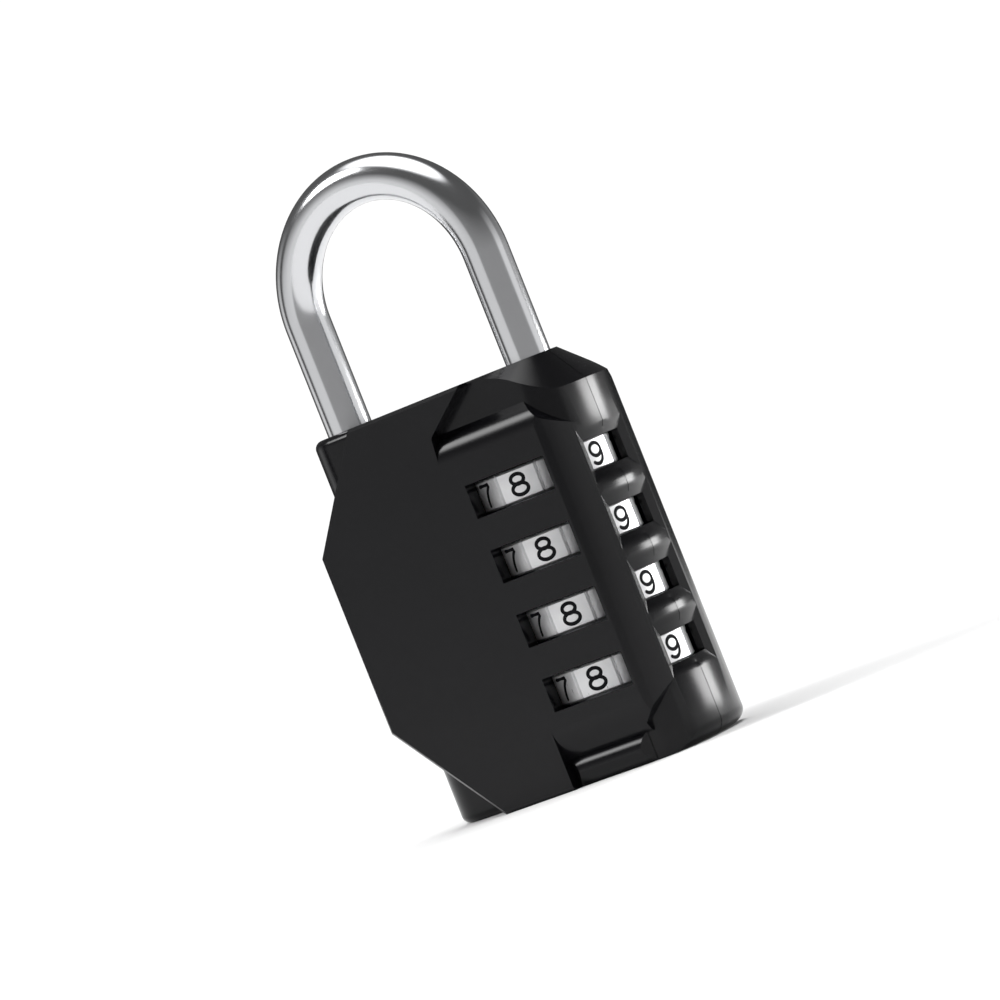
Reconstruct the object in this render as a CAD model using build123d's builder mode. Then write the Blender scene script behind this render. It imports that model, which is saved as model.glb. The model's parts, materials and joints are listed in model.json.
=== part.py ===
"""A four-dial combination padlock with a zinc casing in two shells and a steel shackle.

Frame: +Z up, +X towards the dials, the front face looks along -Y. The origin is the centre
of the casing's footprint, on the surface that the lock stands on. Sizes are millimetres.
"""
from build123d import *
from math import acos, cos, sin
import os

os.makedirs("parts", exist_ok=True)

# ---------------------------------------------------------------- driving dimensions
body_width = 43.9
body_thickness = 22.0
body_height = 56.3

# shackle
shackle_diameter = 6.4
shackle_spacing = 31.15
shackle_height = 34.1           # from the casing's top to the outside of the crown
shackle_lift = 6.5
toe_depth = 5.6                 # how far the short leg reaches into the casing
heel_depth = 38.8               # how far the long leg reaches into the casing
heel_groove_depth = 1.0
end_chamfer = 0.8

# dials
dial_count = 4
dial_pitch = 9.3
top_dial_depth = 15.25          # top dial's middle below the casing's top
dial_radius = 10.1
dial_thickness = 4.5
dial_bore = 6.0
dial_faces = 10
dial_notch = 0.45               # depth of the V between two faces
dial_rim = 0.35                 # bevel along the rims
shown_face_angle = 9.0          # the face in the front window leans this far towards +X

# spindle and gates
spindle_radius = 2.4
fin_reach = 3.8
fin_width = 1.8
fin_height = 1.5

# casing
dial_axis_inset = 11.5          # from the crest of the side to the dials' axis
side_bulge = 2.85               # how far the side bows out between its front and back edges
side_front_round = 5.0          # where the side turns into the finger scoops
side_back_round = 1.6
foot_round = 2.2
pillar_radius = 5.45            # round edge around the long leg
plate_inset = 0.35              # plate's left edge, in from the round edge
plate_upper_corner = (11.8, 15.1)
plate_lower_corner = (12.6, 15.55)
edge_bevel = 0.5
edge_round = 1.2
block_bevel = 0.7
facet_run = 3.95
facet_drop = 5.3
neck_radius = 8.2
front_window = (13.2, 4.76)
front_window_offset = 0.85      # the windows sit this far towards +X of the dials' axis
side_window = (9.3, 4.2)
side_recess = (12.2, 7.7)
side_recess_depth = 0.75
upper_scoop_height = 9.0        # from the casing's top down to where the upper scoop starts
lower_scoop_height = 8.9
scoop_depth = 1.7
scoop_reach = 7.95              # from the dials' axis to the left end of the upper scoop
scoop_lean = (6.6, 7.9)         # how far that end leans, just below the casing's top and above it
scoop_bend = (0.5, 1.9)         # middle of the upper scoop's curve: depth and height
lower_scoop_bend = 0.37         # depth at the middle of the lower scoop's curve
neck_step = 0.4                 # from the upper scoop's floor in to the neck above it
lip_height = 4.0                # rounded lip under the lower scoop
lip_bulge = 1.0
lip_undercut = 0.6
lip_end_round = 3.4
lip_length = 13.2
block_corner = (2.2, 2.9)       # slanted upper corner of the block with the windows
block_foot_lean = 4.0           # rounded lower corner of the same block
block_foot_bend = (1.0, 0.42)   # middle of that corner: inset, and height as a share of the scoop
block_foot_rise = 2.0           # the corner ends this far above the scoop, on the crest

# clearances
running = 0.05
slack = 0.2
fin_gap = 0.25
washer_thickness = 0.3
seam = 0.06                     # half width of the visible line between the shells
seam_depth = 0.4

# lifter plate, springs and pins
plate_gauge = 1.55
lifter_width = 7.2
lifter_gap = 4.4                # from the leaf spring to the lifter plate's web
spring_wire = 0.8
spring_radius = 3.0
spring_turns = 6
leaf_gauge = 0.35
leaf_width = 5.0
pin_radius = 1.5
pin_length = 13.0
rivet_radius = 0.8

# ---------------------------------------------------------------- derived places
half_thickness = body_thickness / 2
axis_x = body_width / 2 - dial_axis_inset
heel_x = -body_width / 2 + pillar_radius
toe_x = heel_x + shackle_spacing
leg = shackle_diameter / 2
bend_radius = shackle_spacing / 2
bend_z = body_height + shackle_height - leg - bend_radius
dial_z = [body_height - top_dial_depth - i * dial_pitch for i in range(dial_count)]
slot_radius = dial_radius + slack
slot_half = dial_thickness / 2 + washer_thickness + running
bottom_slot_z = dial_z[-1] - slot_half
fin_bore = fin_reach + 0.5
foot_top = bottom_slot_z - shackle_lift - running
foot_z = foot_top - plate_gauge
clip_thickness = 0.5
cavity_floor = foot_z - clip_thickness - 4 * running - slack
fin_top_offset = dial_thickness / 2 + fin_gap
bush_z = dial_z[0] - fin_top_offset + shackle_lift + slack
bush_height = 2.2
bush_radius = fin_bore + 0.5
spindle_top = bush_z + bush_height / 2
heel_end = body_height - heel_depth
arm_z = heel_end + 4.1
heel_bore = 4.2
toe_end = body_height - toe_depth
arm_ceiling = arm_z + plate_gauge + shackle_lift + slack


def disc(x, z, radius, height):
    """A plain upright cylinder that stands at height z."""
    with BuildPart() as made:
        with BuildSketch(Plane.XY.offset(z)):
            with Locations((x, 0)):
                Circle(radius)
        extrude(amount=height)
    return made.part


def block(x0, x1, half_y, z0, z1):
    """A box between two X values, symmetric about the parting plane."""
    with BuildPart() as made:
        with BuildSketch(Plane.XY.offset(z0)):
            with Locations(((x0 + x1) / 2, 0)):
                Rectangle(x1 - x0, 2 * half_y)
        extrude(amount=z1 - z0)
    return made.part


# ---------------------------------------------------------------- casing, outside
neck_x = body_width / 2 - facet_run - neck_radius
facet_z = body_height - facet_drop
scoop_half = half_thickness - scoop_depth
neck_half = scoop_half - neck_step
plate_left = plate_inset - body_width / 2
plate_right = body_width / 2 - side_bulge
bow_radius = (half_thickness**2 + side_bulge**2) / (2 * side_bulge)
bow_x = body_width / 2 - bow_radius
foot_rim = (body_width / 2, foot_round)
foot_toe = (body_width / 2 - foot_round, 0)
round_middle = foot_round * 0.5**0.5
foot_middle = (body_width / 2 - foot_round + round_middle, foot_round - round_middle)


def bow_at(radius, y):
    """X of a point of the bowed side at a distance y from the parting plane."""
    return bow_x + (radius**2 - y**2) ** 0.5


with BuildPart() as hull_prism:
    # two round ends joined by their common tangents
    with BuildSketch(Plane.XY):
        span = neck_x - heel_x
        turn = acos((pillar_radius - neck_radius) / span)
        near = (heel_x + pillar_radius * cos(turn), pillar_radius * sin(turn))
        far = (neck_x + neck_radius * cos(turn), neck_radius * sin(turn))
        with Locations((heel_x, 0)):
            Circle(pillar_radius)
        with Locations((neck_x, 0)):
            Circle(neck_radius)
        with BuildLine():
            Polyline(near, far, (far[0], -far[1]), (near[0], -near[1]), close=True)
        make_face()
    extrude(amount=body_height)
    fillet(hull_prism.faces().sort_by(Axis.Z)[-1].edges(), edge_round)
    fillet(hull_prism.faces().sort_by(Axis.Z)[0].edges(), edge_round)

with BuildPart() as side_envelope:
    # turned shape of the bowed side with its rounded foot, and the sloping facet above it
    with BuildSketch(Plane.XZ):
        with BuildLine():
            ThreePointArc(foot_toe, foot_middle, foot_rim)
            Polyline(foot_rim, (body_width / 2, facet_z), (bow_x, facet_z), (bow_x, 0), foot_toe)
        make_face()
    revolve(axis=Axis((bow_x, 0, 0), (0, 0, 1)), revolution_arc=360)
    with BuildSketch(Plane.XY.offset(facet_z)):
        with Locations((bow_x, 0)):
            Circle(bow_radius)
    with BuildSketch(Plane.XY.offset(body_height)):
        with Locations((neck_x, 0)):
            Circle(neck_radius)
    loft()

with BuildPart() as side_body:
    # the bar round the dials: shallow where the scoops bare its front, full depth at the back
    with BuildSketch(Plane.XY) as side_outline:
        with BuildLine():
            front = (bow_at(bow_radius, neck_half), -neck_half)
            back = (plate_right, half_thickness)
            ThreePointArc(front, (body_width / 2, 0), back)
            Polyline(back, (0, half_thickness), (0, -neck_half), front)
        make_face()
        fillet(side_outline.vertices().group_by(Axis.Y)[0].sort_by(Axis.X)[-1], side_front_round)
        fillet(side_outline.vertices().group_by(Axis.Y)[-1].sort_by(Axis.X)[-1], side_back_round)
    extrude(amount=body_height)
    add(side_envelope.part, mode=Mode.INTERSECT)
    with BuildSketch(Plane.YZ):
        with BuildLine():
            Polyline(
                (half_thickness, 0),
                (half_thickness, edge_bevel),
                (half_thickness - edge_bevel, 0),
                close=True,
            )
        make_face()
    extrude(amount=body_width, mode=Mode.SUBTRACT)

# octagonal plate, full thickness, with bevelled outlines on the front and on the back
upper_x = plate_left + plate_upper_corner[0]
upper_z = body_height - plate_upper_corner[1]
lower_x = plate_left + plate_lower_corner[0]
lower_z = plate_lower_corner[1]
plate_points = [
    (plate_left, lower_z),
    (plate_left, upper_z),
    (upper_x, body_height),
    (plate_right - 2, body_height),
    (plate_right - 2, 0),
    (lower_x, 0),
]
with BuildPart() as plate:
    with BuildSketch(Plane.XZ.offset(-(half_thickness - edge_bevel))):
        with BuildLine():
            Polyline(*plate_points, close=True)
        make_face()
    extrude(amount=2 * (half_thickness - edge_bevel))
    for side in (1, -1):
        with BuildSketch(Plane.XZ.offset(side * (half_thickness - edge_bevel))):
            with BuildLine():
                Polyline(*plate_points, close=True)
            make_face()
        extrude(amount=side * edge_bevel, taper=45)

# block that carries the front windows, with its right corners cut back above and below
block_top = body_height - upper_scoop_height
block_foot = lower_scoop_height
scoop_foot = lip_height
scoop_outside = half_thickness + 1
crest_x = body_width / 2
with BuildPart() as dial_block:
    with BuildSketch(Plane.XY) as block_outline:
        with BuildLine():
            ThreePointArc(
                (plate_right, -half_thickness),
                (bow_at(bow_radius, half_thickness / 2), -half_thickness / 2),
                (crest_x, 0),
            )
            Polyline(
                (crest_x, 0),
                (0, 0),
                (0, -half_thickness),
                (plate_right, -half_thickness),
            )
        make_face()
        chamfer(block_outline.vertices().group_by(Axis.Y)[0].sort_by(Axis.X)[-1], block_bevel)
    extrude(amount=body_height)
    with BuildSketch(Plane.XZ):
        with BuildLine():
            foot_start = (crest_x, block_foot + block_foot_rise)
            foot_stop = (plate_right - block_foot_lean, scoop_foot)
            foot_bend = (
                plate_right - block_foot_bend[0],
                scoop_foot + block_foot_bend[1] * (block_foot - scoop_foot),
            )
            ThreePointArc(foot_start, foot_bend, foot_stop)
            Polyline(
                foot_stop,
                (plate_right - block_foot_lean, edge_bevel),
                (0, edge_bevel),
                (0, facet_z),
                (plate_right - block_corner[0], facet_z),
                (crest_x, facet_z - block_corner[1] - side_bulge),
                foot_start,
            )
        make_face()
    extrude(amount=scoop_outside, mode=Mode.INTERSECT)

# finger scoops above and below the windows: what lies past the block's rounded ends goes
scoop_left = axis_x - scoop_reach
scoop_end = [
    (scoop_left, facet_z),
    (scoop_left + scoop_lean[0], body_height - edge_bevel),
    (scoop_left + scoop_lean[1], body_height + 2),
]
lower_scoop_x = scoop_left + edge_bevel
bend_y = half_thickness - scoop_bend[0]
bend_z_up = block_top + scoop_bend[1]
crease_z = facet_z - edge_bevel
with BuildPart() as upper_scoop:
    with BuildSketch(Plane.YZ):
        for side in (1, -1):
            with BuildLine():
                start = (side * half_thickness, block_top)
                stop = (side * scoop_half, crease_z)
                ThreePointArc(start, (side * bend_y, bend_z_up), stop)
                Polyline(
                    stop,
                    (side * neck_half, facet_z),
                    (side * neck_half, body_height + 1),
                    (side * scoop_outside, body_height + 1),
                    (side * scoop_outside, block_top),
                    start,
                )
            make_face()
    extrude(amount=body_width)
    # the scoop's left end leans with the corner of the plate
    with BuildSketch(Plane.XZ.offset(-scoop_outside)):
        with BuildLine():
            Polyline(
                (scoop_left - edge_bevel, block_top - 1),
                *scoop_end,
                (body_width, body_height + 2),
                (body_width, block_top - 1),
                close=True,
            )
        make_face()
    extrude(amount=2 * scoop_outside, mode=Mode.INTERSECT)

with BuildPart() as cleared_corners:
    # past the scoops' ends the plate is gone: above through its whole thickness, below in front
    with BuildSketch(Plane.XZ.offset(-scoop_outside)):
        with BuildLine():
            Polyline(
                *scoop_end,
                (body_width, body_height + 2),
                (body_width, facet_z),
                close=True,
            )
        make_face()
    extrude(amount=2 * scoop_outside)
    with BuildSketch(Plane.XZ):
        with BuildLine():
            Polyline(
                (lower_scoop_x, -1),
                (lower_scoop_x, scoop_foot),
                (body_width, scoop_foot),
                (body_width, -1),
                close=True,
            )
        make_face()
    extrude(amount=scoop_outside)

crease = (-scoop_half, scoop_foot)
with BuildPart() as lower_scoop:
    with BuildSketch(Plane.YZ.offset(lower_scoop_x)):
        with BuildLine():
            start = (-half_thickness, block_foot)
            bend = (lower_scoop_bend - half_thickness, (block_foot + scoop_foot) / 2)
            ThreePointArc(start, bend, crease)
            Polyline(
                crease,
                (-scoop_half, -1),
                (-scoop_outside, -1),
                (-scoop_outside, block_foot),
                start,
            )
        make_face()
    extrude(amount=body_width)

with BuildPart() as lip:
    # rounded bar under the lower scoop, its right end turned in to the side
    with BuildSketch(Plane.YZ.offset(lower_scoop_x)):
        with BuildLine():
            toe = (lip_undercut - scoop_half, 0)
            ThreePointArc(crease, (-(scoop_half + lip_bulge), scoop_foot / 2), toe)
            Polyline(toe, (-neck_half / 2, 0), (-neck_half / 2, scoop_foot), crease)
        make_face()
    extrude(amount=lip_length)
    with BuildSketch(Plane.XY) as lip_outline:
        with Locations((lower_scoop_x + lip_length / 2, -half_thickness / 2)):
            Rectangle(lip_length, half_thickness)
        fillet(lip_outline.vertices().group_by(Axis.Y)[0], lip_end_round)
    extrude(amount=scoop_foot, mode=Mode.INTERSECT)

with BuildPart() as side_recesses:
    # finger notches across the bowed side, one for each dial, with sloping walls
    floor_radius = bow_radius - side_recess_depth
    over = 0.6
    slope = (side_recess[1] - side_window[1]) / 2 / side_recess_depth
    for z in dial_z:
        with BuildSketch(Plane.XZ):
            with BuildLine():
                Polyline(
                    (bow_x + floor_radius, z - side_window[1] / 2),
                    (bow_x + bow_radius + over, z - side_recess[1] / 2 - over * slope),
                    (bow_x + bow_radius + over, z + side_recess[1] / 2 + over * slope),
                    (bow_x + floor_radius, z + side_window[1] / 2),
                    close=True,
                )
            make_face()
        revolve(axis=Axis((bow_x, 0, 0), (0, 0, 1)), revolution_arc=360)
    # the notch ends beside the window
    near_x = bow_at(floor_radius, side_window[0] / 2)
    far_x = bow_at(bow_radius, side_recess[0] / 2)
    with BuildSketch(Plane.XY):
        with BuildLine():
            Polyline(
                (axis_x, -side_window[0] / 2),
                (near_x, -side_window[0] / 2),
                (far_x, -side_recess[0] / 2),
                (body_width, -side_recess[0] / 2),
                (body_width, side_recess[0] / 2),
                (far_x, side_recess[0] / 2),
                (near_x, side_window[0] / 2),
                (axis_x, side_window[0] / 2),
                close=True,
            )
        make_face()
    extrude(amount=body_height, mode=Mode.INTERSECT)

with BuildPart() as windows:
    for z in dial_z:
        with BuildSketch(Plane.XZ.offset(half_thickness + 1)):
            with Locations((axis_x + front_window_offset, z)):
                Rectangle(*front_window)
        extrude(amount=-(half_thickness + 1 - dial_bore))
        with BuildSketch(Plane.YZ.offset(axis_x + dial_bore)):
            with Locations((0, z)):
                Rectangle(*side_window)
        extrude(amount=dial_axis_inset - dial_bore)

# ---------------------------------------------------------------- casing, inside
slots = [disc(axis_x, z - slot_half, slot_radius, 2 * slot_half) for z in dial_z]
leaf_x = axis_x - slot_radius - 1.75
lifter_web_x = leaf_x - lifter_gap
foot_end = axis_x + spindle_radius + 1.4
half_lifter = lifter_width / 2 + slack
fork_end = heel_x - 1.5
web_side = lifter_web_x + plate_gauge + slack
hollows = slots + [
    disc(axis_x, cavity_floor, fin_bore, bush_z - cavity_floor),
    disc(axis_x, bush_z, bush_radius, bush_height),
    disc(axis_x, bush_z, spindle_radius + slack, spindle_top + shackle_lift + slack - bush_z),
    disc(toe_x, toe_end - slack, leg + running, toe_depth + 1),
    disc(heel_x, cavity_floor, heel_bore, arm_ceiling - cavity_floor),
    disc(heel_x, cavity_floor, leg + running, body_height + 1 - cavity_floor),
    block(fork_end - slack, web_side, half_lifter, arm_z - slack, arm_ceiling),
    block(lifter_web_x - slack, web_side, half_lifter, cavity_floor, arm_ceiling),
    block(lifter_web_x - slack, foot_end + slack, half_lifter, cavity_floor, bottom_slot_z),
]

# leaf spring beside the dials
leaf_half_z = slot_half - 2 * slack
leaf_low = dial_z[-1] - leaf_half_z
leaf_high = dial_z[0] + leaf_half_z
leaf_pocket = block(
    leaf_x - 0.3,
    axis_x - slot_radius + 1,
    leaf_width / 2 + slack,
    leaf_low - slack,
    leaf_high + slack,
)
hollows.append(leaf_pocket)
rivet_z = (dial_z[0] - dial_pitch / 2, dial_z[-1] + dial_pitch / 2)

pin_places = [
    (heel_x + 7.9, body_height - 7),
    (toe_x - 11.4, body_height - 6.2),
    (plate_left + 11.3, plate_lower_corner[1]),
    (plate_left + 10.9, body_height - plate_upper_corner[1] - 4.7),
]
foot_pin = (axis_x + 7.4, 5.2)
foot_pin_length = 10.0

with BuildPart() as casing:
    add(plate.part)
    add(dial_block.part)
    add(cleared_corners.part, mode=Mode.SUBTRACT)
    add(side_body.part)
    add(upper_scoop.part, mode=Mode.SUBTRACT)
    add(lower_scoop.part, mode=Mode.SUBTRACT)
    add(lip.part)
    add(hull_prism.part)
    add(side_recesses.part, mode=Mode.SUBTRACT)
    add(windows.part, mode=Mode.SUBTRACT)
    for hollow in hollows:
        add(hollow, mode=Mode.SUBTRACT)
    for z in rivet_z:
        with BuildSketch(Plane.YZ.offset(leaf_x - 2.0)):
            with Locations((0, z)):
                Circle(rivet_radius)
        extrude(amount=2.0, mode=Mode.SUBTRACT)
    with BuildSketch(Plane.XZ.offset(-pin_length / 2)):
        with Locations(*pin_places):
            Circle(pin_radius)
    extrude(amount=pin_length, mode=Mode.SUBTRACT)
    with BuildSketch(Plane.XZ.offset(-foot_pin_length / 2)):
        with Locations(foot_pin):
            Circle(pin_radius)
    extrude(amount=foot_pin_length, mode=Mode.SUBTRACT)

with BuildPart() as seam_groove:
    # the fine line between the shells: a shallow groove round the whole outline
    with BuildSketch(Plane.XZ.offset(-seam)) as groove:
        with Locations((0, body_height / 2)):
            Rectangle(2 * body_width, 2 * body_height)
        with BuildSketch(mode=Mode.PRIVATE) as outline:
            with BuildLine():
                ThreePointArc(foot_toe, foot_middle, foot_rim)
                Polyline(
                    foot_rim,
                    (body_width / 2, facet_z),
                    (body_width / 2 - facet_run, body_height),
                    (-body_width / 2, body_height),
                    (-body_width / 2, 0),
                    foot_toe,
                )
            make_face()
            offset(amount=-seam_depth)
        add(outline.sketch, mode=Mode.SUBTRACT)
    extrude(amount=2 * seam)

with BuildPart() as front_shell:
    add(casing.part)
    add(seam_groove.part, mode=Mode.SUBTRACT)
    split(bisect_by=Plane.XZ, keep=Keep.TOP)
front_shell.part.label = "front_shell"
export_step(front_shell.part, "parts/front_shell.step")

with BuildPart() as back_shell:
    add(casing.part)
    add(seam_groove.part, mode=Mode.SUBTRACT)
    split(bisect_by=Plane.XZ, keep=Keep.BOTTOM)
back_shell.part.label = "back_shell"
export_step(back_shell.part, "parts/back_shell.step")

with BuildPart() as assembly_pins:
    with BuildSketch(Plane.XZ.offset(-pin_length / 2)):
        with Locations(*pin_places):
            Circle(pin_radius)
    extrude(amount=pin_length)
    with BuildSketch(Plane.XZ.offset(-foot_pin_length / 2)):
        with Locations(foot_pin):
            Circle(pin_radius)
    extrude(amount=foot_pin_length)
assembly_pins.part.label = "assembly_pins"
export_step(assembly_pins.part, "parts/assembly_pins.step")

# ---------------------------------------------------------------- shackle
with BuildPart() as shackle:
    with BuildLine() as bow:
        Line((heel_x, 0, heel_end), (heel_x, 0, bend_z))
        ThreePointArc(
            (heel_x, 0, bend_z),
            (heel_x + bend_radius, 0, bend_z + bend_radius),
            (toe_x, 0, bend_z),
        )
        Line((toe_x, 0, bend_z), (toe_x, 0, toe_end))
    with BuildSketch(Plane((heel_x, 0, heel_end))):
        Circle(leg)
    sweep(path=bow.wires()[0])
    chamfer(shackle.faces().filter_by(Axis.Z).edges(), end_chamfer)
    # groove that the lifter plate's fork sits in
    with BuildSketch(Plane.XY.offset(arm_z - running)):
        with Locations((heel_x, 0)):
            Circle(leg + 1)
            Circle(leg - heel_groove_depth, mode=Mode.SUBTRACT)
    extrude(amount=plate_gauge + 2 * running, mode=Mode.SUBTRACT)
shackle.part.label = "shackle"
export_step(shackle.part, "parts/shackle.step")

with BuildPart() as lifter_plate:
    # a strip bent twice: fork round the heel, web down beside the dials, foot under them
    with BuildSketch(Plane.XZ.offset(-lifter_width / 2)):
        with BuildLine():
            Polyline(
                (fork_end, arm_z),
                (fork_end, arm_z + plate_gauge),
                (lifter_web_x + plate_gauge, arm_z + plate_gauge),
                (lifter_web_x + plate_gauge, foot_top),
                (foot_end, foot_top),
                (foot_end, foot_z),
                (lifter_web_x, foot_z),
                (lifter_web_x, arm_z),
                close=True,
            )
        make_face()
    extrude(amount=lifter_width)
    groove_radius = leg - heel_groove_depth + running
    with BuildSketch(Plane.XY.offset(arm_z)):
        with Locations((heel_x, 0)):
            Circle(groove_radius)
        with Locations((heel_x - groove_radius, 0)):
            Rectangle(2 * groove_radius, 2 * groove_radius)
    extrude(amount=plate_gauge, mode=Mode.SUBTRACT)
    tenon_radius = spindle_radius - 0.9
    with BuildSketch(Plane.XY.offset(foot_z)):
        with Locations((axis_x, 0)):
            Circle(tenon_radius + running)
    extrude(amount=plate_gauge, mode=Mode.SUBTRACT)
lifter_plate.part.label = "lifter_plate"
export_step(lifter_plate.part, "parts/lifter_plate.step")

with BuildPart() as spindle:
    with BuildSketch(Plane.XY.offset(foot_top)):
        with Locations((axis_x, 0)):
            Circle(spindle_radius)
    extrude(amount=spindle_top - foot_top)
    clip_top = foot_z - running
    clip_foot = clip_top - clip_thickness
    with BuildSketch(Plane.XY.offset(clip_foot - running)):
        with Locations((axis_x, 0)):
            Circle(tenon_radius)
    extrude(amount=foot_top - clip_foot + running)
    with BuildSketch(Plane.XY.offset(clip_foot)):
        with Locations((axis_x, 0)):
            Circle(tenon_radius + 1)
            Circle(tenon_radius - 0.35, mode=Mode.SUBTRACT)
    extrude(amount=clip_thickness, mode=Mode.SUBTRACT)
    # one fin below each dial's gate
    for z in dial_z:
        with BuildSketch(Plane.XY.offset(z - fin_top_offset - fin_height)):
            with Locations((axis_x - fin_reach / 2, 0)):
                Rectangle(fin_reach, fin_width)
        extrude(amount=fin_height)
spindle.part.label = "spindle"
export_step(spindle.part, "parts/spindle.step")

with BuildPart() as spindle_clip:
    with BuildSketch(Plane.XY.offset(clip_foot)):
        with Locations((axis_x, 0)):
            Circle(tenon_radius + 1.3)
            Circle(tenon_radius - 0.35, mode=Mode.SUBTRACT)
        with Locations((axis_x + tenon_radius + 0.6, 0)):
            Rectangle(2 * tenon_radius, 1.4, mode=Mode.SUBTRACT)
    extrude(amount=clip_thickness)
spindle_clip.part.label = "spindle_clip"
export_step(spindle_clip.part, "parts/spindle_clip.step")

with BuildPart() as spindle_bush:
    with BuildSketch(Plane.XY.offset(bush_z)):
        with Locations((axis_x, 0)):
            Circle(bush_radius)
            Circle(spindle_radius + running, mode=Mode.SUBTRACT)
    extrude(amount=bush_height)
spindle_bush.part.label = "spindle_bush"
export_step(spindle_bush.part, "parts/spindle_bush.step")

# ---------------------------------------------------------------- dials, hubs, washers
key_width = 1.1
key_depth = 0.7
face_step = 360 / dial_faces


def face_angle(index):
    """Angle of the middle of a face about the dials' axis, from +X."""
    return -90 + shown_face_angle + index * face_step


for i, z in enumerate(dial_z):
    with BuildPart() as dial:
        with BuildSketch(Plane((axis_x, 0, z - dial_thickness / 2))):
            RegularPolygon(dial_radius, dial_faces, rotation=face_angle(0.5))
            Circle(dial_bore, mode=Mode.SUBTRACT)
            # seats for the hub's key, one for each number
            with PolarLocations(dial_bore, dial_faces, start_angle=180):
                Rectangle(2 * key_depth, key_width + 2 * running, mode=Mode.SUBTRACT)
        extrude(amount=dial_thickness)
        rims = dial.faces().filter_by(Axis.Z)
        outer = [rim.outer_wire().edges() for rim in rims]
        chamfer([edge for wire in outer for edge in wire], dial_rim)
        # V between the faces
        notch_half = 0.5
        with BuildSketch(Plane((axis_x, 0, z - dial_thickness / 2))):
            with PolarLocations(dial_radius, dial_faces, start_angle=face_angle(0.5)):
                with Locations((-dial_notch / 2 + 0.3, 0)):
                    Triangle(a=2 * notch_half, b=1.0, c=1.0, rotation=90, align=(Align.CENTER, Align.CENTER))
        extrude(amount=dial_thickness, mode=Mode.SUBTRACT)
    dial.part.label = f"dial_{i + 1}"
    export_step(dial.part, f"parts/dial_{i + 1}.step")

    with BuildPart() as hub:
        with BuildSketch(Plane((axis_x, 0, z - dial_thickness / 2))):
            Circle(dial_bore)
            with Locations((-dial_bore, 0)):
                Rectangle(2 * (key_depth - running), key_width)
            Circle(spindle_radius + 0.15, mode=Mode.SUBTRACT)
            with Locations((-(fin_reach + fin_gap) / 2, 0)):
                Rectangle(fin_reach + fin_gap, fin_width + 2 * slack, mode=Mode.SUBTRACT)
        extrude(amount=dial_thickness)
    hub.part.label = f"hub_{i + 1}"
    export_step(hub.part, f"parts/hub_{i + 1}.step")

with BuildPart() as dial_washers:
    for z in dial_z:
        with BuildSketch(Plane((axis_x, 0, z - slot_half))):
            Circle(dial_radius - 1.6)
            Circle(fin_bore + 0.3, mode=Mode.SUBTRACT)
        extrude(amount=washer_thickness)
dial_washers.part.label = "dial_washers"
export_step(dial_washers.part, "parts/dial_washers.step")

# ---------------------------------------------------------------- springs
plug_top = cavity_floor + 0.8
with BuildPart() as spring_plug:
    with BuildSketch(Plane((heel_x, 0, cavity_floor))):
        Circle(heel_bore)
    extrude(amount=plug_top - cavity_floor)
    with BuildSketch(Plane((heel_x, 0, plug_top))):
        Circle(spring_radius - spring_wire)
    extrude(amount=3.5)
spring_plug.part.label = "spring_plug"
export_step(spring_plug.part, "parts/spring_plug.step")

cap_foot = heel_end - 0.8
with BuildPart() as spring_cap:
    with BuildSketch(Plane((heel_x, 0, cap_foot))):
        Circle(heel_bore - 0.4)
    extrude(amount=heel_end - cap_foot)
    with BuildSketch(Plane((heel_x, 0, cap_foot - 1.6))):
        Circle(spring_radius - spring_wire)
    extrude(amount=1.6)
spring_cap.part.label = "spring_cap"
export_step(spring_cap.part, "parts/spring_cap.step")

with BuildPart() as lift_spring:
    gap = spring_wire / 2 + running
    spring_height = cap_foot - plug_top - 2 * gap
    with BuildLine() as coil:
        Helix(
            pitch=spring_height / spring_turns,
            height=spring_height,
            radius=spring_radius,
            center=(heel_x, 0, plug_top + gap),
        )
    with BuildSketch(Plane(coil.line @ 0, z_dir=coil.line % 0)):
        Circle(spring_wire / 2)
    sweep(is_frenet=True)
lift_spring.part.label = "lift_spring"
export_step(lift_spring.part, "parts/lift_spring.step")

with BuildPart() as detent_leaf:
    # a strip with one dome for each dial, which rides over the notches
    with BuildSketch(Plane.YZ.offset(leaf_x)):
        with Locations((0, (leaf_low + leaf_high) / 2)):
            Rectangle(leaf_width, leaf_high - leaf_low)
        with Locations(*[(0, z) for z in rivet_z]):
            Circle(rivet_radius, mode=Mode.SUBTRACT)
    extrude(amount=leaf_gauge)
    dome_reach = axis_x - dial_radius - running - leaf_x
    for z in dial_z:
        with BuildSketch(Plane.YZ.offset(leaf_x + leaf_gauge)):
            with Locations((0, z)):
                Circle(1.2)
        extrude(amount=dome_reach - leaf_gauge, taper=25)
detent_leaf.part.label = "detent_leaf"
export_step(detent_leaf.part, "parts/detent_leaf.step")

with BuildPart() as leaf_rivets:
    for z in rivet_z:
        with BuildSketch(Plane.YZ.offset(leaf_x - 2.0)):
            with Locations((0, z)):
                Circle(rivet_radius)
        extrude(amount=2.0 + leaf_gauge)
        with BuildSketch(Plane.YZ.offset(leaf_x + leaf_gauge)):
            with Locations((0, z)):
                Circle(rivet_radius + 0.5)
        extrude(amount=0.4)
leaf_rivets.part.label = "leaf_rivets"
export_step(leaf_rivets.part, "parts/leaf_rivets.step")
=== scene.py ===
"""A four-dial combination padlock: black lacquered casing, chromed shackle, nickel dials."""

import json
import math

import bmesh
import bpy
from bpy.props import FloatProperty, FloatVectorProperty, IntProperty, PointerProperty, StringProperty
from mathutils import Matrix, Vector

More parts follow.
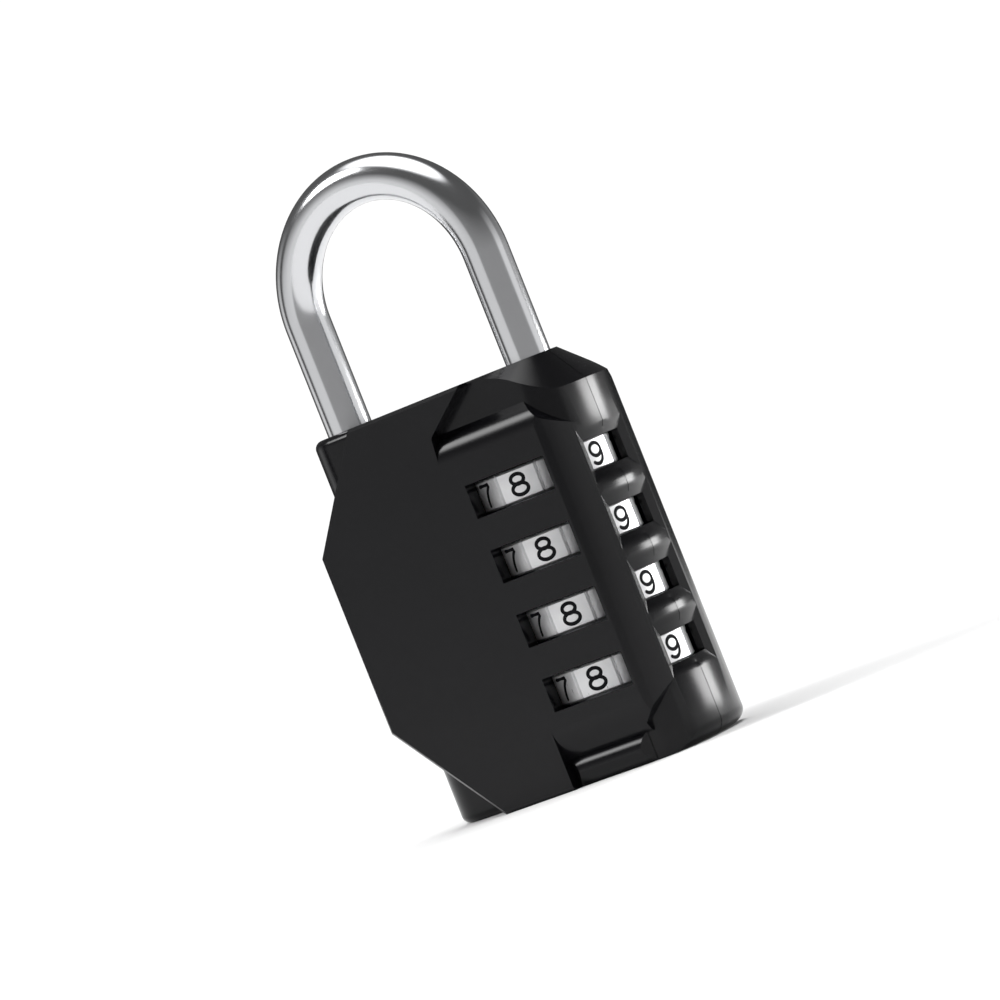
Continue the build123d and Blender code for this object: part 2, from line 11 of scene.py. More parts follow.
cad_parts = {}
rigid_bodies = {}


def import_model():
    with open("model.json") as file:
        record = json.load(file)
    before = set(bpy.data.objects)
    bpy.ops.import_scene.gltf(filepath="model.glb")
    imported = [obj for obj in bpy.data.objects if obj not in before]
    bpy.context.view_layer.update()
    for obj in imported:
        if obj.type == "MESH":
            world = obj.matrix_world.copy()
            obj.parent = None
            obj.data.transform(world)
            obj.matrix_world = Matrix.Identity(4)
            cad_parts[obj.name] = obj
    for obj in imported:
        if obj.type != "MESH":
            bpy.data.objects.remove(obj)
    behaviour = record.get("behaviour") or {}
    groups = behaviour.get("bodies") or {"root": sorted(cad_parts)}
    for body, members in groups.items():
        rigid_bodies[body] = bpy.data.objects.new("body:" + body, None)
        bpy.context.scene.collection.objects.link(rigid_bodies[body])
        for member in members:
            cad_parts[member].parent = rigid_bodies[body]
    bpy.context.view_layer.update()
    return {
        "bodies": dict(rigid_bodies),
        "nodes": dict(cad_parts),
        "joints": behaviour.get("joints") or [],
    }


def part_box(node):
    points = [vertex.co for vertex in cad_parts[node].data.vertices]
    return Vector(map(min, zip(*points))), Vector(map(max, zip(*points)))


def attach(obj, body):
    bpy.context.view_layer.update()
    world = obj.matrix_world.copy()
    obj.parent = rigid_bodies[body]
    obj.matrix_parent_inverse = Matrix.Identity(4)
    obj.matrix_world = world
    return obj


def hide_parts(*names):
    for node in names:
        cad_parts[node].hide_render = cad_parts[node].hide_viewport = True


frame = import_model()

bl_info = {
    "name": "Combination padlock",
    "version": (1, 0, 0),
    "blender": (4, 5, 0),
    "location": "View3D > Sidebar > Padlock",
    "description": "Builds the casing, shackle, dials and inner parts of a combination padlock",
    "category": "Object",
}

MM = 0.001
JOINTS = {joint["name"]: joint for joint in frame["joints"]}
DIALS = sorted(name for name in frame["bodies"] if name.startswith("dial_"))


# ------------------------------------------------------------------ sizes and colours


class PadlockSizes(bpy.types.PropertyGroup):
    """What a maker would change about the lock's looks."""

    notch_half: FloatProperty(
        name="Notch half width", description="Half the groove between two numbers",
        default=0.26 * MM, unit="LENGTH")
    notch_depth: FloatProperty(
        name="Notch depth", description="Depth of the groove between two numbers",
        default=0.45 * MM, unit="LENGTH")
    face_crown: FloatProperty(
        name="Face crown", description="How far each number's face swells in its middle",
        default=0.2 * MM, unit="LENGTH")
    rim_bevel: FloatProperty(
        name="Rim bevel", description="Bevel along a dial's two rims",
        default=0.32 * MM, unit="LENGTH")
    numeral_height: FloatProperty(
        name="Numeral height", description="Height of a number on a dial",
        default=3.4 * MM, unit="LENGTH")
    numeral_stroke: FloatProperty(
        name="Numeral stroke", description="Width of a number's line",
        default=0.52 * MM, unit="LENGTH")
    shown_angle: FloatProperty(
        name="Shown face", description="Angle of the face in the front window from straight ahead",
        default=math.radians(9), subtype="ANGLE")
    bow_segments: IntProperty(
        name="Bow segments", description="Steps round the shackle's bend", default=96, min=24)
    bar_sides: IntProperty(
        name="Bar sides", description="Sides of the shackle's round bar", default=64, min=16)
    end_chamfer: FloatProperty(
        name="End chamfer", description="Chamfer on the shackle's two ends",
        default=0.8 * MM, unit="LENGTH")
    groove_depth: FloatProperty(
        name="Groove depth", description="Depth of the groove near the shackle's long end",
        default=1.0 * MM, unit="LENGTH")


class PadlockFinishes(bpy.types.PropertyGroup):
    """Colours of the lock's finishes."""

    lacquer: FloatVectorProperty(
        name="Lacquer", description="Black lacquer on the casing", subtype="COLOR",
        default=(0.0036, 0.0036, 0.0044))
    chrome: FloatVectorProperty(
        name="Chrome", description="Plating on the shackle", subtype="COLOR",
        default=(0.62, 0.625, 0.64))
    nickel: FloatVectorProperty(
        name="Nickel", description="Plating on the dials", subtype="COLOR",
        default=(0.74, 0.74, 0.75))
    enamel: FloatVectorProperty(
        name="Enamel", description="Paint in the numbers", subtype="COLOR",
        default=(0.006, 0.006, 0.007))
    brass: FloatVectorProperty(
        name="Brass", description="Turned inner parts", subtype="COLOR",
        default=(0.78, 0.56, 0.22))
    steel: FloatVectorProperty(
        name="Steel", description="Pressed inner parts", subtype="COLOR",
        default=(0.52, 0.53, 0.55))


class PadlockStage(bpy.types.PropertyGroup):
    """Camera and light."""

    azimuth: FloatProperty(
        name="Azimuth", description="Camera's turn to the right of straight ahead",
        default=math.radians(32.97), subtype="ANGLE")
    elevation: FloatProperty(
        name="Elevation", description="Camera's height above the horizon",
        default=math.radians(0.75), subtype="ANGLE")
    roll: FloatProperty(
        name="Roll", description="The lock's lean to the left in the view",
        default=math.radians(21.73), subtype="ANGLE")
    distance: FloatProperty(
        name="Distance", description="Camera to the middle of the view", default=0.850, unit="LENGTH")
    aim_right: FloatProperty(
        name="Aim right", description="Aim point's shift to the right", default=1.67 * MM, unit="LENGTH")
    aim_height: FloatProperty(
        name="Aim height", description="Aim point's height", default=39.8 * MM, unit="LENGTH")
    view_width: FloatProperty(
        name="View width", description="Width that the view takes in at the aim point",
        default=135.8 * MM, unit="LENGTH")


# ------------------------------------------------------------------ shader arithmetic


class Value:
    """A shader socket that takes part in Python arithmetic by adding Math nodes."""

    def __init__(self, tree, socket):
        self.tree = tree
        self.socket = socket

    def _math(self, operation, first, second=None):
        node = self.tree.nodes.new("ShaderNodeMath")
        node.operation = operation
        for slot, item in zip(node.inputs, (first, second)):
            if isinstance(item, Value):
                self.tree.links.new(item.socket, slot)
            elif item is not None:
                slot.default_value = item
        return Value(self.tree, node.outputs[0])

    def __add__(self, other):
        return self._math("ADD", self, other)

    __radd__ = __add__

    def __sub__(self, other):
        return self._math("SUBTRACT", self, other)

    def __rsub__(self, other):
        return self._math("SUBTRACT", other, self)

    def __mul__(self, other):
        return self._math("MULTIPLY", self, other)

    __rmul__ = __mul__

    def __truediv__(self, other):
        return self._math("DIVIDE", self, other)

    def angle_to(self, other):
        return self._math("ARCTAN2", self, other)

    def clamped(self):
        made = self._math("ADD", self, 0.0)
        made.socket.node.use_clamp = True
        return made


class Shader:
    """One material's node tree, with a single way to add a node."""

    def __init__(self, name):
        self.material = bpy.data.materials.new(name)
        self.material.use_nodes = True
        self.tree = self.material.node_tree
        self.surface = self.tree.nodes["Principled BSDF"]

    def node(self, kind, settings=None, inputs=None, output=0):
        made = self.tree.nodes.new("ShaderNode" + kind)
        for key, value in (settings or {}).items():
            setattr(made, key, value)
        for key, value in (inputs or {}).items():
            if isinstance(value, Value):
                self.tree.links.new(value.socket, made.inputs[key])
            else:
                made.inputs[key].default_value = value
        return Value(self.tree, made.outputs[output])

    def place(self, scale=(1, 1, 1)):
        """Object coordinates, stretched where a grain runs one way."""
        coordinates = self.node("TexCoord", output="Object")
        return self.node("Mapping", inputs={"Vector": coordinates, "Scale": scale})

    def noise(self, scale, detail=3.0, stretch=(1, 1, 1)):
        inputs = {"Vector": self.place(stretch), "Scale": scale, "Detail": detail}
        return self.node("TexNoise", inputs=inputs, output="Fac")

    def blend(self, factor, first, second):
        """A colour that goes from first to second with a factor."""
        inputs = {0: factor, 6: (*first, 1), 7: (*second, 1)}
        return self.node("Mix", {"data_type": "RGBA"}, inputs, output=2)

    def bump(self, height, distance):
        return self.node("Bump", inputs={"Height": height, "Distance": distance})

    def feed(self, **sockets):
        """Sets or links sockets of the surface shader, named with underscores."""
        for key, value in sockets.items():
            slot = self.surface.inputs[key.replace("_", " ")]
            if isinstance(value, Value):
                self.tree.links.new(value.socket, slot)
            else:
                slot.default_value = (*value, 1) if hasattr(value, "__len__") and len(value) == 3 else value
        return self.material


def tint(colour, factor):
    return tuple(channel * factor for channel in colour)


# ------------------------------------------------------------------ finishes


def lacquer_finish(colour):
    """Black stove lacquer over cast zinc: faint flow waves, fine grain, a few dull patches."""
    s = Shader("black_lacquer")
    flow = s.noise(220.0, 2.0)
    grain = s.noise(5200.0, 2.0)
    patches = s.noise(90.0, 4.0)
    s.feed(
        Base_Color=s.blend(patches, tint(colour, 0.85), tint(colour, 1.35)),
        Roughness=0.15 + 0.07 * patches + 0.03 * grain,
        Normal=s.bump(flow * 0.7 + grain * 0.05, 0.00001),
        Specular_IOR_Level=0.22,
    )
    return s.material


def chrome_finish(colour):
    """Bright chrome over ground bar: faint lines along the bar and thin haze."""
    s = Shader("polished_chrome")
    haze = s.noise(160.0, 3.0)
    lines = s.noise(900.0, 2.0, stretch=(1, 1, 0.06))
    s.feed(
        Base_Color=s.blend(haze, tint(colour, 0.97), colour),
        Metallic=1.0,
        Roughness=0.14 + 0.06 * haze * lines,
        Normal=s.bump(lines, 0.0000015),
    )
    return s.material


def nickel_finish(colour):
    """Satin nickel: fine upright grain from tumbling, a little tarnish."""
    s = Shader("satin_nickel")
    grain = s.noise(2600.0, 2.0, stretch=(1, 1, 0.15))
    tarnish = s.noise(420.0, 4.0)
    s.feed(
        Base_Color=s.blend(tarnish, tint(colour, 0.86), colour),
        Metallic=0.5,
        Roughness=0.24 + 0.05 * grain + 0.05 * tarnish,
        Normal=s.bump(grain, 0.000002),
    )
    return s.material


def enamel_finish(colour):
    """Glossy paint wiped into the numbers."""
    s = Shader("number_enamel")
    wipe = s.noise(1500.0, 3.0)
    s.feed(
        Base_Color=s.blend(wipe, colour, tint(colour, 2.0)),
        Roughness=0.5 + 0.2 * wipe,
        Normal=s.bump(wipe, 0.00001),
        Specular_IOR_Level=0.05,
    )
    return s.material


def metal_finish(name, colour, roughness, scale, stretch):
    """Plain worked metal for the parts inside: tool marks and an oily film."""
    s = Shader(name)
    marks = s.noise(scale, 3.0, stretch=stretch)
    film = s.noise(240.0, 3.0)
    s.feed(
        Base_Color=s.blend(film, tint(colour, 0.7), colour),
        Metallic=1.0,
        Roughness=roughness + 0.15 * film,
        Normal=s.bump(marks, 0.00001),
    )
    return s.material


def finish(name):
    """One material of each kind, made on first use."""
    colours = bpy.context.scene.padlock_finishes
    makers = {
        "black_lacquer": lambda: lacquer_finish(colours.lacquer),
        "polished_chrome": lambda: chrome_finish(colours.chrome),
        "satin_nickel": lambda: nickel_finish(colours.nickel),
        "number_enamel": lambda: enamel_finish(colours.enamel),
        "turned_brass": lambda: metal_finish("turned_brass", colours.brass, 0.22, 1800.0, (1, 1, 8)),
        "pressed_steel": lambda: metal_finish("pressed_steel", colours.steel, 0.32, 1400.0, (1, 1, 1)),
        "spring_steel": lambda: metal_finish(
            "spring_steel", tint(colours.steel, 0.75), 0.26, 2600.0, (6, 6, 1)),
    }
    return bpy.data.materials.get(name) or makers[name]()


# ------------------------------------------------------------------ mesh helpers


def mesh_object(name, mesh, material=None):
    made = bpy.data.objects.new(name, mesh)
    bpy.context.scene.collection.objects.link(made)
    if material is not None:
        mesh.materials.clear()
        mesh.materials.append(material)
    return made


def smooth_by_angle(mesh, degrees):
    mesh.polygons.foreach_set("use_smooth", [True] * len(mesh.polygons))
    mesh.set_sharp_from_angle(angle=math.radians(degrees))


def welded_copy(node, name, material, degrees=24):
    """A CAD node's mesh as one closed skin with smooth shading, to stand for the node."""
    mesh = frame["nodes"][node].data.copy()
    mesh.name = name
    work = bmesh.new()
    work.from_mesh(mesh)
    bmesh.ops.remove_doubles(work, verts=work.verts, dist=1e-7)
    work.to_mesh(mesh)
    work.free()
    if mesh.has_custom_normals:
        mesh.attributes.remove(mesh.attributes["custom_normal"])
    smooth_by_angle(mesh, degrees)
    return mesh_object(name, mesh, material)


def bridge(work, low, high):
    """Quads between two rings of vertices."""
    count = len(low)
    for i in range(count):
        j = (i + 1) % count
        work.faces.new((low[i], low[j], high[j], high[i]))


def to_mesh(work, name):
    bmesh.ops.recalc_face_normals(work, faces=work.faces)
    mesh = bpy.data.meshes.new(name)
    work.to_mesh(mesh)
    work.free()
    return mesh


def baked(made, name):
    """The evaluated object as a plain mesh object, with the live one removed."""
    graph = bpy.context.evaluated_depsgraph_get()
    mesh = bpy.data.meshes.new_from_object(made.evaluated_get(graph))
    mesh.name = name
    old = made.data
    bpy.data.objects.remove(made)
    bpy.data.meshes.remove(old)
    return mesh_object(name, mesh)


# ------------------------------------------------------------------ casing


class PADLOCK_OT_casing(bpy.types.Operator):
    """Front and back halves of the casing, lacquered"""

    bl_idname = "padlock.casing"
    bl_label = "Casing"

    def execute(self, context):
        for node, name in (("front_shell", "casing_front"), ("back_shell", "casing_back")):
            shell = welded_copy(node, name, finish("black_lacquer"))
            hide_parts(node)
            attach(shell, "case")
        return {"FINISHED"}


# ------------------------------------------------------------------ shackle


def bow_path(heel, toe, end_z, bend_z, toe_z, steps):
    """Points and directions along the shackle's centre line, heel first."""
    radius = (toe.x - heel.x) / 2
    middle = Vector(((toe.x + heel.x) / 2, 0, bend_z))
    stations = [(Vector((heel.x, 0, end_z)), Vector((0, 0, 1)))]
    for i in range(steps + 1):
        angle = math.pi - math.pi * i / steps
        offset = Vector((math.cos(angle), 0, math.sin(angle)))
        stations.append((middle + offset * radius, Vector((math.sin(angle), 0, -math.cos(angle)))))
    stations.append((Vector((toe.x, 0, toe_z)), Vector((0, 0, -1))))
    return stations


class PADLOCK_OT_shackle(bpy.types.Operator):
    """Round chromed bow with a grooved heel and a short toe"""

    bl_idname = "padlock.shackle"
    bl_label = "Shackle"

    def execute(self, context):
        sizes = context.scene.padlock_sizes
        low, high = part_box("shackle")
        radius = (high.y - low.y) / 2
        heel = Vector((low.x + radius, 0, 0))
        toe = Vector((high.x - radius, 0, 0))
        bend_z = high.z - radius - (toe.x - heel.x) / 2
        toe_z = min(v.co.z for v in frame["nodes"]["shackle"].data.vertices if v.co.x > 0)
        plate = frame["nodes"]["lifter_plate"].data.vertices
        fork_low = min(v.co.z for v in plate if v.co.x < low.x + 2 * radius)
        fork_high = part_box("lifter_plate")[1].z
        chamfer, neck = sizes.end_chamfer, radius - sizes.groove_depth
        tip = 0.001 * MM
        stations = bow_path(heel, toe, low.z, bend_z, toe_z, sizes.bow_segments)
        up = Vector((0, 0, 1))
        rings = [(stations[0][0], up, tip), (stations[0][0], up, radius - chamfer)]
        rings.append((stations[0][0] + up * chamfer, up, radius))
        for z, wide in ((fork_low, radius), (fork_low, neck), (fork_high, neck), (fork_high, radius)):
            rings.append((Vector((heel.x, 0, z)), up, wide))
        rings += [(point, along, radius) for point, along in stations[1:-1]]
        last = stations[-1][0]
        rings.append((last + up * chamfer, -up, radius))
        rings.append((last, -up, radius - chamfer))
        rings.append((last, -up, tip))
        work = bmesh.new()
        previous = None
        for point, along, wide in rings:
            across = along.cross(Vector((0, 1, 0))).normalized()
            ring = []
            for k in range(sizes.bar_sides):
                angle = 2 * math.pi * k / sizes.bar_sides
                offset = Vector((0, 1, 0)) * math.cos(angle) + across * math.sin(angle)
                ring.append(work.verts.new(point + offset * wide))
            if previous is not None:
                bridge(work, previous, ring)
            else:
                work.faces.new(ring)
            previous = ring
        work.faces.new(previous)
        mesh = to_mesh(work, "shackle_bow")
        smooth_by_angle(mesh, 30)
        bow = mesh_object("shackle_bow", mesh, finish("polished_chrome"))
        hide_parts("shackle")
        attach(bow, "shackle")
        return {"FINISHED"}


# ------------------------------------------------------------------ dials

FACES = 10
STEP = 2 * math.pi / FACES
# the number on each face, anticlockwise from the one in the front window
NUMERALS = "8091234567"


def dial_frame(body):
    """Axis, lowest and highest corner of a dial."""
    joint = JOINTS[body + "_turn"]
    low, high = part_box(body)
    return Vector((joint["pos_m"][0], joint["pos_m"][1], 0)), low, high


def face_point(across, outward, angle):
    """A point of a face in the plan view, from its distance along the face and outwards."""
    normal = Vector((math.cos(angle), math.sin(angle), 0))
    along = Vector((-math.sin(angle), math.cos(angle), 0))
    return normal * outward + along * across


def surface_at(across, flat, half, crown):
    """Distance of the crowned face from the axis."""
    return flat + crown * (1 - (across / half) ** 2)


def ring_tree(material):
    """Geometry Nodes that turn one dial sector into a closed ring of equal sectors."""
    tree = bpy.data.node_groups.new("dial_ring", "GeometryNodeTree")
    face = tree.interface
    face.new_socket("Geometry", in_out="INPUT", socket_type="NodeSocketGeometry")
    face.new_socket("Sectors", in_out="INPUT", socket_type="NodeSocketInt")
    face.new_socket("Axis", in_out="INPUT", socket_type="NodeSocketVector")
    face.new_socket("Geometry", in_out="OUTPUT", socket_type="NodeSocketGeometry")

    def add(kind, **settings):
        node = tree.nodes.new(kind)
        for key, value in settings.items():
            setattr(node, key, value)
        return node

    start, end = add("NodeGroupInput"), add("NodeGroupOutput")
    circle = add("GeometryNodeMeshLine", mode="OFFSET")
    circle.inputs["Offset"].default_value = (0, 0, 0)
    index = add("GeometryNodeInputIndex")
    turn = add("ShaderNodeMath", operation="DIVIDE")
    full = add("ShaderNodeMath", operation="MULTIPLY")
    full.inputs[1].default_value = 2 * math.pi
    spin = add("ShaderNodeCombineXYZ")
    place = add("GeometryNodeSetPosition")
    copies = add("GeometryNodeInstanceOnPoints")
    real = add("GeometryNodeRealizeInstances")
    weld = add("GeometryNodeMergeByDistance")
    weld.inputs["Distance"].default_value = 1e-7
    paint = add("GeometryNodeSetMaterial")
    paint.inputs["Material"].default_value = material
    link = tree.links.new
    link(start.outputs["Sectors"], circle.inputs["Count"])
    link(circle.outputs["Mesh"], place.inputs["Geometry"])
    link(start.outputs["Axis"], place.inputs["Position"])
    link(index.outputs[0], turn.inputs[0])
    link(start.outputs["Sectors"], turn.inputs[1])
    link(turn.outputs[0], full.inputs[0])
    link(full.outputs[0], spin.inputs["Z"])
    link(place.outputs["Geometry"], copies.inputs["Points"])
    link(start.outputs["Geometry"], copies.inputs["Instance"])
    link(spin.outputs["Vector"], copies.inputs["Rotation"])
    link(copies.outputs["Instances"], real.inputs["Geometry"])
    link(real.outputs["Geometry"], weld.inputs["Geometry"])
    link(weld.outputs["Geometry"], paint.inputs["Geometry"])
    link(paint.outputs["Geometry"], end.inputs["Geometry"])
    return tree


def sector_mesh(sizes, corner, bore, low_z, high_z, first_angle):
    """One number's share of a dial: crowned face, half a notch each side, rims, bore wall."""
    flat = corner * math.cos(STEP / 2)
    half = corner * math.sin(STEP / 2) - sizes.notch_half
    outline = []
    notch = corner - sizes.notch_depth
    outline.append(Vector((math.cos(-STEP / 2), math.sin(-STEP / 2), 0)) * notch)
    steps = 16
    for k in range(steps + 1):
        across = -half + 2 * half * k / steps
        outline.append(face_point(across, surface_at(across, flat, half, sizes.face_crown), 0))
    outline.append(Vector((math.cos(STEP / 2), math.sin(STEP / 2), 0)) * notch)
    turn = Matrix.Rotation(first_angle, 3, "Z")
    bevel = sizes.rim_bevel
    # outer wall from the lower rim to the upper one, then in to the bore and back
    rim = [(0.0, bevel * 1.6), (bevel * 0.25, bevel * 0.9), (bevel, 0.0)]
    levels = [(low_z + rise, inset) for rise, inset in rim]
    levels += [(high_z - rise, inset) for rise, inset in reversed(rim)]
    levels += [(high_z, None), (low_z, None)]
    work = bmesh.new()
    rows = []
    for z, inset in levels:
        row = []
        for point in outline:
            target = bore if inset is None else point.length - inset
            place = turn @ (point * (target / point.length))
            row.append(work.verts.new((place.x, place.y, z)))
        rows.append(row)
    for a, b in zip(rows, rows[1:] + rows[:1]):
        for i in range(len(outline) - 1):
            work.faces.new((a[i], a[i + 1], b[i + 1], b[i]))
    mesh = bpy.data.meshes.new("dial_sector")
    work.to_mesh(mesh)
    work.free()
    return mesh


def arc(cx, cy, rx, ry, start, stop, steps=20):
    """Points on an ellipse, angles in degrees."""
    points = []
    for i in range(steps + 1):
        angle = math.radians(start + (stop - start) * i / steps)
        points.append((cx + rx * math.cos(angle), cy + ry * math.sin(angle)))
    return points


# strokes of each number in a box one unit high, centred on the origin
STROKES = {
    "0": [arc(0, 0, 0.34, 0.5, 90, 450, 36)],
    "1": [[(-0.16, 0.34), (0.04, 0.5), (0.04, -0.5)]],
    "2": [arc(0, 0.22, 0.31, 0.28, 165, -20, 16) + [(-0.31, -0.5), (0.33, -0.5)]],
    "3": [arc(-0.02, 0.24, 0.29, 0.26, 155, -90, 16), arc(-0.02, -0.24, 0.33, 0.26, 90, -155, 18)],
    "4": [[(0.14, -0.5), (0.14, 0.5), (-0.34, -0.18), (0.34, -0.18)]],
    "5": [[(0.27, 0.5), (-0.24, 0.5), (-0.28, 0.06)] + arc(-0.01, -0.17, 0.32, 0.33, 125, -150, 20)],
    "6": [arc(0.12, -0.16, 0.44, 0.66, 88, 175, 12) + arc(0, -0.19, 0.33, 0.31, 180, 540, 30)],
    "7": [[(-0.33, 0.5), (0.33, 0.5)] + arc(0.62, -0.5, 0.66, 1.0, 116, 180, 10)],
    "8": [arc(0, 0.25, 0.29, 0.24, 90, 450, 30), arc(0, -0.23, 0.35, 0.27, 90, 450, 32)],
    "9": [arc(0, 0.19, 0.32, 0.31, 0, 360, 30) + arc(-0.06, -0.02, 0.38, 0.48, 15, -128, 18)],
}


def stroke_rings(points, half):
    """Stations along a stroke with their half widths, rounded off at both ends."""
    ends = (0.0, 0.38, 0.71, 0.92)
    first = (Vector(points[0]) - Vector(points[1])).normalized()
    last = (Vector(points[-1]) - Vector(points[-2])).normalized()
    stations = []
    closed = (Vector(points[0]) - Vector(points[-1])).length < 1e-9
    if not closed:
        for share in ends:
            out = math.sqrt(1 - share * share)
            stations.append((Vector(points[0]) + first * half * out, -first, half * max(share, 0.02)))
    for i, point in enumerate(points):
        if closed:
            before, after = points[i - 1 if i else -2], points[(i + 1) if i + 1 < len(points) else 1]
        else:
            before, after = points[max(i - 1, 0)], points[min(i + 1, len(points) - 1)]
        along = (Vector(after) - Vector(before)).normalized()
        stations.append((Vector(point), along, half))
    if not closed:
        for share in reversed(ends):
            out = math.sqrt(1 - share * share)
            stations.append((Vector(points[-1]) + last * half * out, last, half * max(share, 0.02)))
    return stations


def add_numeral(work, text, sizes, flat, half_face, angle, middle_z, axis):
    """Lays one number's strokes on a crowned face as low domed ribbons of paint."""
    height = sizes.numeral_height - sizes.numeral_stroke
    half = sizes.numeral_stroke / 2
    rise, sink = 0.05 * MM, 0.12 * MM
    profile = [(-1.0, -sink), (-1.0, 0.2 * rise), (-0.6, 0.85 * rise), (0, rise),
               (0.6, 0.85 * rise), (1.0, 0.2 * rise), (1.0, -sink)]
    for stroke in STROKES[text]:
        points = [(x * height * 1.16, y * height) for x, y in stroke]
        rows = []
        for centre, along, wide in stroke_rings(points, half):
            side = Vector((-along.y, along.x))
            row = []
            for share, lift in profile:
                flat_point = centre + side * share * wide
                outward = surface_at(flat_point.x, flat, half_face, sizes.face_crown) + lift
                plan = face_point(flat_point.x, outward, angle)
                row.append(work.verts.new((axis.x + plan.x, axis.y + plan.y, middle_z + flat_point.y)))
            rows.append(row)
        for a, b in zip(rows, rows[1:]):
            bridge(work, a, b)
        work.faces.new(rows[0])
        work.faces.new(rows[-1])


class PADLOCK_OT_dials(bpy.types.Operator):
    """Number dials: crowned faces, notches and painted numerals"""

    bl_idname = "padlock.dials"
    bl_label = "Dials"

    def execute(self, context):
        sizes = context.scene.padlock_sizes
        tree = ring_tree(finish("satin_nickel"))
        first = -math.pi / 2 + sizes.shown_angle
        for body in DIALS:
            axis, low, high = dial_frame(body)
            corner = max((v.co.xy - axis.xy).length for v in frame["nodes"][body].data.vertices)
            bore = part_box("hub_" + body[-1])[1].x - axis.x
            mesh = sector_mesh(sizes, corner, bore, low.z, high.z, first)
            sector = mesh_object("dial_sector", mesh)
            modifier = sector.modifiers.new("ring", "NODES")
            modifier.node_group = tree
            inputs = {item.name: item.identifier for item in tree.interface.items_tree
                      if item.in_out == "INPUT"}
            modifier[inputs["Sectors"]] = FACES
            modifier[inputs["Axis"]] = axis
            ring = baked(sector, "number_ring_" + body[-1])
            work = bmesh.new()
            work.from_mesh(ring.data)
            bmesh.ops.remove_doubles(work, verts=work.verts, dist=1e-7)
            bmesh.ops.recalc_face_normals(work, faces=work.faces)
            work.to_mesh(ring.data)
            work.free()
            smooth_by_angle(ring.data, 20)
            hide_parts(body)
            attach(ring, body)

            flat = corner * math.cos(STEP / 2)
            half = corner * math.sin(STEP / 2) - sizes.notch_half
            work = bmesh.new()
            for i, text in enumerate(NUMERALS):
                add_numeral(work, text, sizes, flat, half, first + i * STEP, (low.z + high.z) / 2, axis)
            mesh = to_mesh(work, "numbers_" + body[-1])
            smooth_by_angle(mesh, 40)
            numbers = mesh_object("numbers_" + body[-1], mesh, finish("number_enamel"))
            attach(numbers, body)
        return {"FINISHED"}


# ------------------------------------------------------------------ inner parts


INNER = {
    "turned_brass": ["hub_1", "hub_2", "hub_3", "hub_4", "spindle_bush", "spring_plug", "spring_cap"],
    "pressed_steel": ["lifter_plate", "spindle", "assembly_pins", "leaf_rivets"],
    "spring_steel": ["lift_spring", "detent_leaf", "dial_washers", "spindle_clip"],
}


class PADLOCK_OT_inner_parts(bpy.types.Operator):
    """Finishes for the mechanism inside the casing"""

    bl_idname = "padlock.inner_parts"
    bl_label = "Inner parts"

    def execute(self, context):
        for material, nodes in INNER.items():
            for node in nodes:
                mesh = frame["nodes"][node].data
                mesh.materials.clear()
                mesh.materials.append(finish(material))
        return {"FINISHED"}


# ------------------------------------------------------------------ stage


def soft_box(name, azimuth, elevation, reach, width, height, glow, aim):
    """A soft box facing the lock; angles in degrees from +X, glow is its brightness to the eye."""
    data = bpy.data.lights.new(name, "AREA")
    data.shape = "RECTANGLE"
    data.size, data.size_y = width, height
    data.energy = glow * math.pi * width * height
    lamp = bpy.data.objects.new(name, data)
    bpy.context.scene.collection.objects.link(lamp)
    a, e = math.radians(azimuth), math.radians(elevation)
    back = Vector((math.cos(a) * math.cos(e), math.sin(a) * math.cos(e), math.sin(e)))
    lamp.location = Vector((0, 0, aim)) + back * reach
    lamp.rotation_mode = "QUATERNION"
    lamp.rotation_quaternion = back.to_track_quat("Z", "Y")
    return lamp


# upright panels round the lock: from, to and soft edge in degrees from +X, then added glow
PANELS = (
    (-150, -98, 8, 0.55),
    (8, 40, 10, 0.65),
    (-190, -170, 6, 0.60),
    (170, 190, 6, 0.60),
    (-166, -155, 5, -0.36),
    (88, 160, 14, -0.36),
)
# round glows above: turn, height, inner and outer radius in degrees, then added glow
SPOTS = (
    (0, 90, 5, 35, 5.0),
    (-146, 43, 6, 14, 14.0),
)
UPPER_GLOW, LOWER_GLOW, SEEN_GLOW = 0.12, 0.28, 1.05
LOWER_FADE = 2.2


